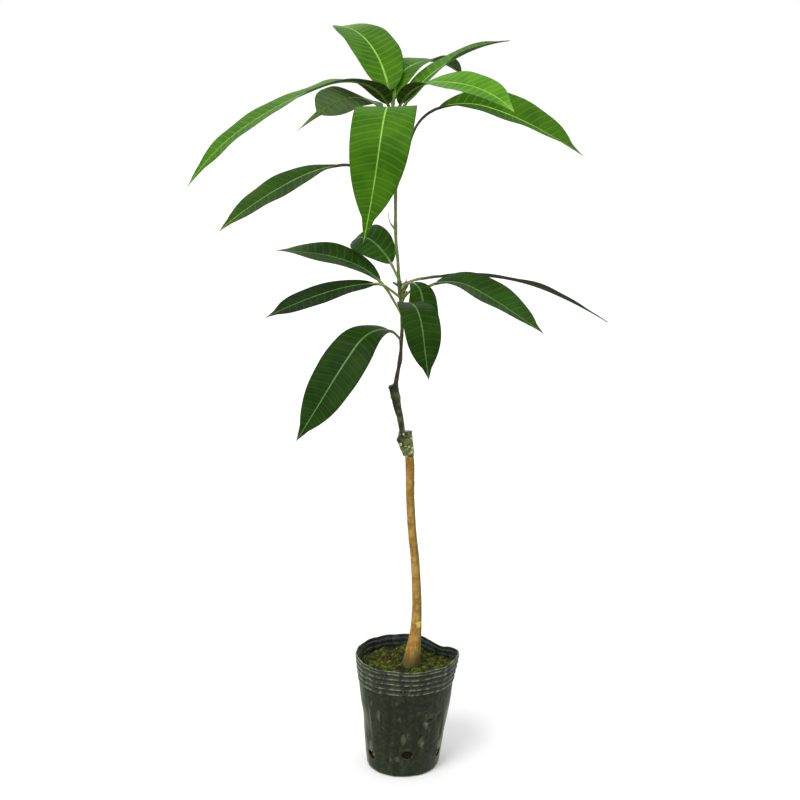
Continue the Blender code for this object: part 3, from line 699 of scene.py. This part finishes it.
def blade_rings(leaf, seed):
    """Rings round the blade's cross-section: upper face left to right, then the lower one back."""
    stations, axis, side, up = leaf_frames(leaf)
    rows = math.ceil(leaf.blade / ROW_PITCH)
    even = np.linspace(0, 1, rows + 1)
    t = (1 - np.cos(np.linspace(0, np.pi, rows + 1))) / 2 * 0.35 + even * 0.65
    s = t * leaf.blade
    half = half_width(leaf, t)
    rib = np.minimum(MIDRIB_HALF - MIDRIB_TAPER * t, half * 0.45)
    spread = np.linspace(0, 1, COLUMNS + 1)[1:] ** 1.1
    right = rib[:, None] + (half - rib)[:, None] * np.concatenate([[0.0], spread])
    across = np.hstack([-right[:, ::-1], np.zeros((rows + 1, 1)), right])
    out = np.abs(across)
    fold = math.radians(leaf.fold)
    place = at(leaf.petiole + s, stations, axis)[:, None]
    sideways = at(leaf.petiole + s, stations, side)[:, None]
    upward = at(leaf.petiole + s, stations, up)[:, None]
    share = out / half[:, None]
    phase = seed * 2.4 + np.where(across > 0, 1.9, 0.0)
    swell = np.minimum(half / 12, 1)[:, None]
    wave = np.sin(s[:, None] / (6.5 + 0.6 * (seed % 4)) + phase) * WAVE
    wave = wave + np.sin(s[:, None] / 15.0 + phase * 1.7) * LONG_WAVE
    wave = wave * share**3 * swell
    veins = (s[:, None] - out * (VEIN_RISE + VEIN_CURVE * out)) / VEIN_PITCH
    veins = veins + np.where(across > 0, 0.5, 0.0)
    body = np.clip((out - rib[:, None]) / 2.5, 0, 1) * (1 - share**6)
    quilt = -QUILT * np.cos(2 * np.pi * veins) * body * swell
    ridge = np.clip(1 - out / np.maximum(rib, 0.1)[:, None], 0, 1)
    raised = out * math.sin(fold) + wave + quilt
    middle = place + sideways * (across * math.cos(fold))[..., None]
    thick = LEAF_THICKNESS * (1 - 0.55 * share**4)
    above = middle + upward * (raised + ridge * RIDGE + thick / 2)[..., None]
    keel = ridge * (KEEL * (1 - t) ** 1.2 + 0.25)[:, None]
    below = middle + upward * (raised - keel - thick / 2)[..., None]
    rings = np.concatenate([above, below[:, ::-1]], axis=1)
    flat = np.stack([across, np.broadcast_to(s[:, None], across.shape)], axis=2) / UV_UNIT
    return rings, np.concatenate([flat, flat[:, ::-1]], axis=1)


def ring_slots(rings):
    """A material for every face of a blade's rings, in the order that Body.rings makes them."""
    rows, sides = rings.shape[:2]
    half = sides // 2
    middle = (half - 1) // 2
    column = [FACE] * half + [UNDER] * half
    for start in (middle - 1, middle):
        column[start] = column[half + start] = RIB
    column[sides - 1] = UNDER
    return column * (rows - 1) + [UNDER] * (2 * sides)


def stalk_rings(leaf):
    """The petiole from the stem to the blade, swollen at both ends, then sunk along the midrib."""
    stations, axis, side, up = leaf_frames(leaf)
    end = leaf.petiole + 0.16 * leaf.blade
    s = np.concatenate([np.linspace(0.4, leaf.petiole, 40), np.linspace(leaf.petiole, end, 12)[1:]])
    t = s / leaf.petiole
    swell = STALK_RADIUS + (JOINT_RADIUS - STALK_RADIUS) * np.exp(-((t / 0.14) ** 2))
    at_blade = np.exp(-(((t - 0.94) / 0.16) ** 2))
    swell = swell + (BLADE_JOINT_RADIUS - STALK_RADIUS) * at_blade
    beyond = np.clip((s - leaf.petiole) / (end - leaf.petiole), 0, 1)
    radius = swell * (1 - 0.75 * beyond)
    place = at(s, stations, axis) - at(s, stations, up) * (beyond * 0.8)[:, None]
    angle = np.arange(STALK_SIDES) / STALK_SIDES * 2 * np.pi
    spokes = (
        at(s, stations, side)[:, None] * np.cos(angle)[:, None]
        + at(s, stations, up)[:, None] * np.sin(angle)[:, None]
    )
    ripple = 1 + 0.04 * np.sin(s * 1.7)[:, None] * np.cos(3 * angle)
    return place[:, None] + spokes * (radius[:, None] * ripple)[..., None]


def make_leaf(leaf, number, materials, slot_name):
    body = Body()
    rings, uv = blade_rings(leaf, number)
    body.rings(rings, ring_slots(rings), uv)
    body.rings(stalk_rings(leaf), STALK)
    body.finish("blade_" + leaf.name, materials, "leaf_" + leaf.name, slot_name)


def make_leaves():
    young_rib = plain_plant("young_midrib", rgb(146, 194, 58), rgb(120, 172, 46))
    old_rib = plain_plant("old_midrib", rgb(88, 132, 48), rgb(70, 112, 38))
    young_stalk = plain_plant("young_petiole", rgb(100, 128, 46), rgb(80, 106, 34))
    old_stalk = plain_plant("old_petiole", rgb(148, 164, 92), rgb(112, 128, 62))
    purple = plain_plant("purple_petiole", rgb(104, 100, 78), rgb(78, 72, 60))
    for number, leaf in enumerate((*UPPER_LEAVES, *LOWER_LEAVES)):
        name = leaf.name
        tone, under_tone = LIGHT_TONES.get(name, (1.0, 1.0))
        end = TIP_HIGHLIGHT_SPANS.get(name)
        if number < len(UPPER_LEAVES):
            face = leaf_face(name + "_face", YOUNG_FACE, tone, 0.45, 0.45, end=end)
            under = leaf_face(name + "_under", YOUNG_UNDER, under_tone, 0.4, 0.6, YOUNG_UNDER_SHADE)
            stalk = purple if leaf.petiole > PURPLE_FROM else young_stalk
            make_leaf(leaf, number, [face, under, young_rib, stalk], "young_leaf")
        else:
            face = leaf_face(name + "_face", OLD_FACE, tone, 0.4, 0.45, None, end, OLD_TIP_HIGHLIGHT)
            under = leaf_face(name + "_under", OLD_UNDER, under_tone, 0.4, 0.6)
            make_leaf(leaf, number, [face, under, old_rib, old_stalk], "old_leaf")


# Woody pieces


def make_rootstock():
    def relief(angle, height):
        at_skin = (math.cos(angle) * 6, math.sin(angle) * 6, height)
        furrow = fbm((at_skin[0], at_skin[1], height * 0.16), 2.0, 4)
        knots = 0.35 * math.exp(-(((height % BARK_RING_PITCH) - 23.0) / 1.6) ** 2)
        spread = max(0.0, (FLARE_HEIGHT - height) / FLARE_DROP) ** 2
        flare = spread * 1.1 * (1 + math.sin(3 * angle + 0.8)) / 2
        return 0.22 * furrow + knots * (0.6 + 0.4 * math.cos(angle - height)) + flare

    steps = 44
    rings = stem_rings(ROOTSTOCK, 0.9, steps, relief, low=123)
    rightness = np.cos(np.arange(steps) / steps * 2 * np.pi)
    sides = np.stack([np.broadcast_to(rightness, rings.shape[:2]), rings[:, :, 2]], axis=2)
    body = Body()
    body.rings(rings, 0, sides / UV_UNIT)
    body.finish("trunk_of_rootstock", [bark_material()], "rootstock", "bark")


def make_scion():
    def relief(angle, height):
        at_skin = (math.cos(angle) * 3.5, math.sin(angle) * 3.5, height)
        ring = 0.5 * math.exp(-(((height - 412.5) / 1.0) ** 2))
        ring += 0.45 * math.exp(-(((height - 455) / 1.3) ** 2))
        return 0.35 * fbm(at_skin, 5.0, 3) + ring

    body = Body()
    rings = stem_rings(SCION, 0.6, 36, relief)
    rings[-5:, :, 2] -= np.clip(-7 - rings[-5:, :, 0], 0, 9) * 0.45
    body.rings(rings)
    body.finish("scion_wood", [scion_material()], "scion", "green_wood")


def bud_rings(start, end, first, last):
    """A short tapering shape between two places in the plant's plane, rounded at its end."""
    start, end = np.array([start[0], 0, start[1]]), np.array([end[0], 0, end[1]])
    along = (end - start) / np.linalg.norm(end - start)
    side, up = np.array([0, 1, 0]), np.cross(along, (0, 1, 0))
    t = np.linspace(0, 1, BUD_STEPS)
    radius = (first + (last - first) * t) / 2 * np.sqrt(np.clip(1.02 - t**6, 0.02, 1))
    angle = np.arange(BUD_STEPS)[:, None] / BUD_STEPS * 2 * np.pi
    spokes = np.cos(angle) * side + np.sin(angle) * up
    places = start + (end - start) * t[:, None]
    return places[:, None] + spokes[None] * radius[:, None, None]


def make_shoots():
    def relief(angle, height):
        at_skin = (math.cos(angle) * 2.2, math.sin(angle) * 2.2, height)
        return 0.16 * fbm(at_skin, 3.0, 3)

    bud = simple("pale_bud", rgb(150, 162, 96), rgb(118, 132, 70), 300, 0.5)
    knot = simple("fresh_knot", rgb(134, 144, 52), rgb(98, 108, 30), 240, 0.55)
    stem = plain_plant("green_stem", rgb(112, 140, 66), rgb(90, 118, 52), 0.45)
    lower, upper = Body(), Body()
    lower.rings(stem_rings(SHOOT_LOWER, 0.7, 28, relief))
    upper.rings(stem_rings(SHOOT_UPPER, 0.9, 28, relief))
    for body, buds in ((lower, LOWER_BUDS), (upper, UPPER_BUDS)):
        for *shape, slot in buds:
            body.rings(bud_rings(*shape), slot)
    lower.finish("lower_shoot_wood", [shoot_material(), bud, knot], "shoot_lower", "dark_wood")
    upper.finish("upper_shoot_wood", [stem, bud], "shoot_upper", "young_stem")


def wrapped(height):
    """The round things that the tape goes over at a height: centre and radius of each."""
    x, z, diameter = np.array(ROOTSTOCK).T
    things = [(np.interp(height, z, x), np.interp(height, z, diameter) / 2)]
    x, z, diameter = np.array(SCION).T
    if height > z[0]:
        things.append((np.interp(height, z, x), np.interp(height, z, diameter) / 2))
    above = height - KNOB_HEIGHT
    knob = 1 - (max(above, 0) / KNOB_TALL) ** 2
    if knob > 0:
        things.append((KNOB_CENTRE - KNOB_SLANT * min(above, 0), KNOB_RADIUS * math.sqrt(knob)))
    return things


def make_wrap():
    """Tape stretched tightly round the stub, the scion's foot and the knob between them."""
    rings = []
    for z in np.arange(TAPE_LOW, TAPE_HIGH + 0.01, TAPE_ROW):
        things = wrapped(z)
        ring = []
        for a in np.arange(TAPE_SIDES) / TAPE_SIDES * 2 * math.pi:
            middle, radius = max(things, key=lambda thing: thing[0] * math.cos(a) + thing[1])
            climb = TAPE_WIDTH * a / (2 * math.pi)
            winding = ((z - TAPE_TILT * math.sin(a) + climb) / TAPE_WIDTH) % 1
            folds = fbm((7 * math.cos(a), 7 * math.sin(a), z * 1.1), 4.2, 3)
            out = radius + 0.6 + 0.4 * winding**3 + 0.6 * folds
            ring.append((middle + out * math.cos(a), out * math.sin(a), z))
        rings.append(ring)
    body = Body()
    body.rings(rings)
    body.finish("wound_tape", [tape_material()], "graft_wrap", "tape")


# Pot and soil


def pot_radius(height):
    return POT_BASE_RADIUS + (POT_TOP_RADIUS - POT_BASE_RADIUS) * height / POT_HEIGHT


def turn_from(start, angle):
    return (angle - start + 180) % 360 - 180


def bump(angle, height, at_angle, at_height, spread, tall):
    turn = turn_from(at_angle, angle)
    return math.exp(-((turn / spread) ** 2) - ((height - at_height) / tall) ** 2)


def soften(x, y, z):
    """Moves a point of the straight pot to where the soft film stands: dents, rim fold and lean."""
    angle = math.degrees(math.atan2(y, x))
    radius = math.hypot(x, y)
    share = min(radius / POT_BASE_RADIUS, 1.0)
    push = sum(out * bump(angle, z, *place) for *place, out in PUSHES)
    drop = sum(fall * bump(angle, z, *place) * share**3 for *place, fall in SAGS)
    scale = 1 + push * share / max(radius, POT_BASE_RADIUS)
    return x * scale + POT_LEAN * z / POT_HEIGHT, y * scale, z - drop


def turned(profile, steps):
    """Rings of a profile of (radius, height) points, from the first to the last."""
    angle = np.arange(steps) / steps * 2 * np.pi
    return np.array([
        np.stack([r * np.cos(angle), r * np.sin(angle), np.full(steps, z)], axis=1)
        for r, z in profile
    ])


def rib_wave(z):
    return ((1 - math.cos((POT_HEIGHT - z) / RIB_PITCH * 2 * math.pi)) / 2) ** 1.5


def crease(angle, z, turn, height, wide, tall, climb):
    return bump(angle, z - climb * turn_from(turn, angle), turn, height, wide, tall)


def hole_lip(angle, z):
    """The film bulges on the upper left of each drain hole."""
    for azimuth, height in HOLES:
        across = math.radians(turn_from(azimuth, angle)) * pot_radius(z)
        up = z - height
        gap = (math.hypot(across, up) - HOLE_RADIUS - LIP_GAP) / LIP_WIDTH
        if abs(gap) < 3:
            side = max(math.cos(math.atan2(up, across) - math.radians(LIP_SIDE)), 0)
            return LIP_HEIGHT * side * math.exp(-gap * gap)
    return 0.0


def pot_profile():
    """Radius and height from the inner floor to the underside, and the material of each row."""
    ribs_end = POT_HEIGHT - RIB_COUNT * RIB_PITCH
    depths = np.linspace(POT_FLOOR + POT_CORNER, POT_HEIGHT - 3, 30)
    inner = [(pot_radius(z) - POT_WALL, z) for z in depths if z < ribs_end]
    for z in np.arange(ribs_end, POT_HEIGHT - 1, RIB_ROW):
        inner.append((pot_radius(z) - POT_WALL + RIB_DEPTH * rib_wave(z) * INNER_RIB, z))
    lip = pot_radius(POT_HEIGHT)
    rim = [(lip - RIM_WALL, POT_HEIGHT - 0.3), (lip - RIM_WALL / 2, POT_HEIGHT)]
    rib_rows = np.arange(POT_HEIGHT - 0.4, ribs_end, -RIB_ROW)
    ribs = [(pot_radius(z) + RIB_DEPTH * rib_wave(z), z) for z in rib_rows]
    outer = [(pot_radius(z), z) for z in np.linspace(ribs_end, POT_CORNER, 96)]
    corner = [
        (pot_radius(0) - POT_CORNER * (1 - math.cos(a)), POT_CORNER * (1 - math.sin(a)))
        for a in np.linspace(0.25, math.pi / 2, 5)
    ]
    floor = [(1.0, POT_FLOOR), (pot_radius(0) - POT_WALL - POT_CORNER, POT_FLOOR)]
    slots = [INSIDE] * len(inner) + [FILM, FILM, RIB_HIGHLIGHT, RIB_HIGHLIGHT]
    # rib crests get the painted highlight
    slots += [RIB_HIGHLIGHT if r > pot_radius(z) + RIB_DEPTH * RIB_HIGHLIGHT_FROM else FILM for r, z in ribs]
    slots += [FILM] * (len(outer) + len(corner))
    return [*floor, *inner, *rim, *ribs, *outer, *corner, (1.0, 0)], slots


def punch_holes(piece):
    bm = bmesh.new()
    for azimuth, height in HOLES:
        outward = Matrix.Rotation(math.radians(azimuth), 4, "Z") @ Matrix.Translation(
            Vector((pot_radius(height), 0, height)) * MM
        )
        bmesh.ops.create_cone(
            bm, cap_ends=True, segments=40, radius1=HOLE_RADIUS * MM, radius2=HOLE_RADIUS * MM,
            depth=20 * MM, matrix=outward @ Matrix.Rotation(math.pi / 2, 4, "Y"),
        )
    punch_mesh = bpy.data.meshes.new("punches")
    bmesh.ops.recalc_face_normals(bm, faces=bm.faces)
    bm.to_mesh(punch_mesh)
    bm.free()
    punch = placed("punches", punch_mesh)
    cut = piece.modifiers.new("holes", "BOOLEAN")
    cut.operation = "DIFFERENCE"
    cut.solver = "EXACT"
    cut.object = punch
    graph = bpy.context.evaluated_depsgraph_get()
    mesh = bpy.data.meshes.new_from_object(piece.evaluated_get(graph))
    piece.modifiers.clear()
    piece.data = mesh
    bpy.data.objects.remove(punch)


def wrinkle(mesh):
    """Creases the straight pot's film, raises the hole lips and bends it all to its soft shape."""
    for vertex in mesh.vertices:
        x, y, z = vertex.co / MM
        ripple = 0.42 * fbm((x * 1.4, y * 1.4, z * 0.16), 9.0, 3)
        ripple += 0.55 * fbm((x, y, z * 0.8), 24.0, 3)
        angle = math.degrees(math.atan2(y, x))
        for turn, height, wide, tall, deep, climb in CREASES:
            ripple -= deep * crease(angle, z, turn, height, wide, tall, climb)
        ripple += hole_lip(angle, z)
        z += 1.5 * (z / POT_HEIGHT) ** 3 * fbm((x, y, 5.0), 24.0, 2)
        grow = 1 + ripple / max(math.hypot(x, y), 20)
        vertex.co = Vector(soften(x * grow, y * grow, z)) * MM


def make_pot():
    profile, row_slots = pot_profile()
    slots = [slot for slot in row_slots for _ in range(POT_STEPS)]
    body = Body()
    body.rings(turned(profile, POT_STEPS), slots + [FILM] * (2 * POT_STEPS))
    dust_and_glints = rgb(96, 104, 78)
    film = film_material("pot_film", rgb(30, 36, 19), rgb(48, 56, 34), dust_and_glints, painted_marks=SCUFFS_AND_PAINTED_LIGHT)
    # pale specks on the rib crests: painted glints
    dust_and_glints = rgb(190, 198, 172)
    rib_highlights = film_material("painted_rib_highlights", rgb(48, 56, 38), rgb(134, 146, 118), dust_and_glints, 0.5)
    # a darker copy of the film for the inner wall: painted shade inside the pot
    inside = film_material("pot_inside", rgb(20, 28, 25), rgb(40, 52, 48), rgb(70, 80, 74))
    piece = body.finish("soft_pot", [film, rib_highlights, inside], "pot", "pot_film")
    punch_holes(piece)
    wrinkle(piece.data)
    smooth(piece.data)


def soil_top(x, y):
    """Height of the mossy surface over the straight pot."""
    wave = math.sin(x / 7 + 1) * math.cos(y / 8) + 0.6 * math.sin(x / 3.5 - y / 4.5)
    lumps = fbm((x, y, 3.0), 7.0, 4)
    return SOIL_HEIGHT + 1.2 * (wave + 0.4) + 2.6 * lumps


def fill_radius(z):
    return pot_radius(z) - POT_WALL - SOIL_INSET


def soil_rings():
    """The fill from the middle of its top to its underside, with the film's creases pressed in."""
    edge = fill_radius(SOIL_HEIGHT)
    top = [(edge * r, SOIL_HEIGHT) for r in np.linspace(0.02, 1, SOIL_TOP_ROWS)]
    levels = np.linspace(SOIL_HEIGHT - 2, POT_FLOOR + POT_CORNER, SOIL_SIDE_ROWS)
    floor = (fill_radius(0) - POT_CORNER, POT_FLOOR + SOIL_FLOOR_GAP)
    rings = turned([*top, *((fill_radius(z), z) for z in levels), floor], SOIL_STEPS)
    flat = rings.reshape(-1, 3)
    for row, (x, y, z) in enumerate(flat):
        if row < SOIL_TOP_ROWS * SOIL_STEPS:
            z = soil_top(x, y)
        else:
            angle, radius = math.degrees(math.atan2(y, x)), math.hypot(x, y)
            inward = 1 - 0.014 * (1 + fbm((x, y, z), 3.0, 3))
            for turn, height, wide, tall, deep, climb in CREASES:
                press = crease(angle, z, turn, height, wide * 1.2, tall * 1.5, climb)
                inward -= max(deep, 0) * 1.3 * press / radius
            x, y = x * inward, y * inward
        flat[row] = soften(x, y, z)
    return rings


def scattered(reach):
    """A random place on the fill's top, up to a share of its radius."""
    radius = fill_radius(SOIL_HEIGHT) * reach * math.sqrt(RNG.random())
    turn = RNG.random() * 2 * math.pi
    return radius * math.cos(turn), radius * math.sin(turn)


def make_soil():
    body = Body()
    body.rings(soil_rings(), DIRT)
    for _ in range(TUFTS):
        x, y = scattered(0.97)
        patch = fbm((x, y, 9.0), 9.0, 2)
        if patch >= -0.02 and math.hypot(x - TRUNK_FOOT[0], y - TRUNK_FOOT[1]) >= BARE_RADIUS:
            tuft(body, x, y, MOSS if patch > 0.16 else DARK_MOSS)
    for kind, count, size in ((CHIP, CHIPS, CHIP_SIZE), (GRAIN, GRAINS, GRAIN_SIZE)):
        for _ in range(count):
            x, y = scattered(0.95)
            crumb(body, Vector((x, y, soil_top(x, y) + 0.2)), size, kind)
    for azimuth, middle in HOLES[1:]:
        for bit in range(HOLE_BITS):
            turn = math.radians(azimuth + RNG.normal(0, 4))
            height = middle + RNG.normal(0, 3)
            radius = fill_radius(height)
            place = Vector((radius * math.cos(turn), radius * math.sin(turn), height))
            crumb(body, place, GRAIN_SIZE, ORANGE if bit % 3 else GRAIN)
    materials = [
        soil_material(),
        simple("moss", rgb(120, 132, 24), rgb(60, 74, 8), 160, 0.9),
        simple("bark_chips", rgb(78, 58, 30), rgb(30, 24, 12), 200, 0.9),
        simple("perlite", rgb(226, 222, 210), rgb(196, 190, 176), 400, 0.8),
        simple("dark_moss", rgb(50, 62, 8), rgb(26, 36, 4), 160, 0.9),
        simple("orange_bits", rgb(132, 88, 42), rgb(84, 56, 26), 300, 0.9),
    ]
    body.finish("soil_and_moss", materials, "soil", "soil")


def tuft(body, x, y, slot):
    """A few tiny upright moss leaves, each a three-sided spike."""
    for _ in range(TUFT_SPIKES):
        px, py = x + RNG.normal(0, TUFT_REACH), y + RNG.normal(0, TUFT_REACH)
        tall, lean = RNG.uniform(0.9, 2.2), RNG.normal(0, 0.7, 2)
        base = soil_top(px, py) - 0.6
        angles = RNG.random() * 2 * math.pi + np.arange(3) * SPIKE_TURN
        ring = [
            (px + SPIKE_RADIUS * math.cos(a), py + SPIKE_RADIUS * math.sin(a), base) for a in angles
        ]
        points = [soften(*p) for p in (*ring, (px + lean[0], py + lean[1], base + 0.6 + tall))]
        body.add(points, [(0, 1, 3), (1, 2, 3), (2, 0, 3), (2, 1, 0)], slot)


def crumb(body, base, size, kind):
    """A small chip or grain half sunk in the surface."""
    bm = bmesh.new()
    bmesh.ops.create_icosphere(bm, subdivisions=1, radius=1)
    stretch = RNG.uniform(0.45, 1.0, 3) * size * (1.0 if kind == GRAIN else RNG.uniform(0.6, 1.5))
    spin = Matrix.Rotation(RNG.random() * 6.28, 3, Vector(RNG.normal(0, 1, 3)).normalized())
    points = [
        soften(*(base + spin @ Vector(np.array(v.co) * stretch * RNG.uniform(0.8, 1.15))))
        for v in bm.verts
    ]
    body.add(points, [[v.index for v in f.verts] for f in bm.faces], kind)
    bm.free()


# Set


def make_set():
    floor_mesh = bpy.data.meshes.new("floor")
    bm = bmesh.new()
    bmesh.ops.create_grid(bm, x_segments=1, y_segments=1, size=FLOOR_REACH)
    bm.to_mesh(floor_mesh)
    bm.free()
    floor = placed("floor", floor_mesh)
    floor.location.z = -FLOOR_DROP
    floor.visible_diffuse = False
    floor.visible_glossy = False
    pale = Paint("pale_floor", Base_Color=(0.9, 0.9, 0.9, 1), Roughness=1.0).material
    floor_mesh.materials.append(pale)
    floor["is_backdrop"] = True
    make_world()
    lamp = bpy.data.lights.new("key", "SUN")
    lamp.energy = KEY_POWER
    lamp.angle = math.radians(KEY_SPREAD)
    light = placed("key", lamp)
    light.rotation_euler = Vector(KEY_FROM).to_track_quat("Z", "Y").to_euler()
    bpy.context.scene.view_settings.view_transform = "Standard"


def make_world():
    """A white studio, dimmer from below so that the undersides of the leaves stay dark."""
    world = bpy.data.worlds.new("studio")
    world.use_nodes = True
    nodes, link = world.node_tree.nodes, world.node_tree.links.new
    place = nodes.new("ShaderNodeTexCoord")
    split = nodes.new("ShaderNodeSeparateXYZ")
    ramp = nodes.new("ShaderNodeMapRange")
    for socket, value in zip(ramp.inputs[1:5], (*LIGHT_TURN, LIGHT_BELOW, LIGHT_ABOVE)):
        socket.default_value = value
    link(place.outputs["Generated"], split.inputs[0])
    link(split.outputs[2], ramp.inputs[0])
    link(ramp.outputs[0], nodes["Background"].inputs[1])
    nodes["Background"].inputs[0].default_value = (1, 1, 1, 1)
    bpy.context.scene.world = world


def make_camera():
    data = bpy.data.cameras.new("camera")
    data.sensor_width = 36
    data.lens = CAMERA_LENS
    data.clip_start = 0.05
    data.clip_end = 200
    camera = placed("camera", data)
    camera.location = CAMERA_PLACE
    camera.rotation_euler = (math.radians(90 - CAMERA_DIP), 0, 0)
    bpy.context.scene.camera = camera


def corners(box):
    return [[round(float(c), 5) for c in corner] for corner in box]


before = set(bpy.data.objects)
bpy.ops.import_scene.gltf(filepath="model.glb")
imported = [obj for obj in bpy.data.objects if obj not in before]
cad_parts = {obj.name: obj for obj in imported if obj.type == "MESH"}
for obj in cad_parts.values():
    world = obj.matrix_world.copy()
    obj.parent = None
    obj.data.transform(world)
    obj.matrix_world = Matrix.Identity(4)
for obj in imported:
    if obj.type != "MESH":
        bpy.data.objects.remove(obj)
cad_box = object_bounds()
make_camera()
make_set()
make_pot()
make_soil()
make_rootstock()
make_scion()
make_wrap()
make_shoots()
make_leaves()
{"cad": corners(cad_box), "visual": corners(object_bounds())}
